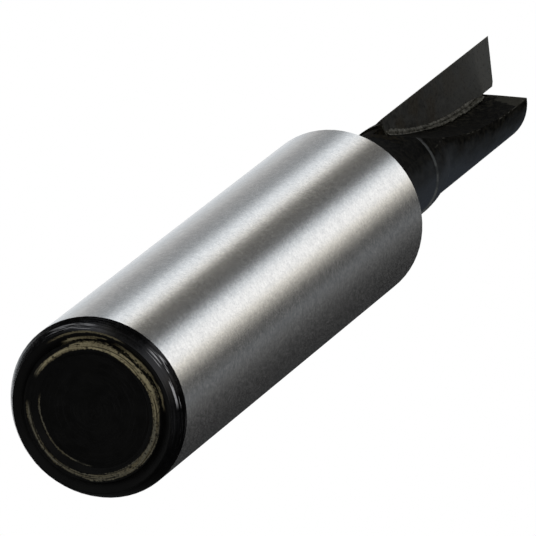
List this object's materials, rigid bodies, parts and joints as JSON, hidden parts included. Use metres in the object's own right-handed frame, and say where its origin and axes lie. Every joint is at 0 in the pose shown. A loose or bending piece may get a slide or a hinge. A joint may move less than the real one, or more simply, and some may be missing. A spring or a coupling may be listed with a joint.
{
  "type": "router bit",
  "caption": "Straight single-flute router bit with a ground cylindrical shank, a slender blackened head and one brazed carbide cutting tip.",
  "frame": {"origin": "centre of the shank end, on the plane that the bit stands on", "axes": "+Z along the bit's axis from the shank end to the cutting end; the side cutting edge lies in the XZ plane, on the -X side, and the flute opens towards -Y"},
  "size_m": [0.0126, 0.0126, 0.0792],
  "materials": {
    "steel": "bright ground shank; the shank end, neck and head are blackened",
    "carbide": "matt grey sintered carbide, finely ground",
    "braze": "dull silver braze alloy"
  },
  "bodies": {
    "root": {"body": "steel", "carbide_tip_1": "carbide", "braze_seam_1": "braze"}
  },
  "joints": []
}
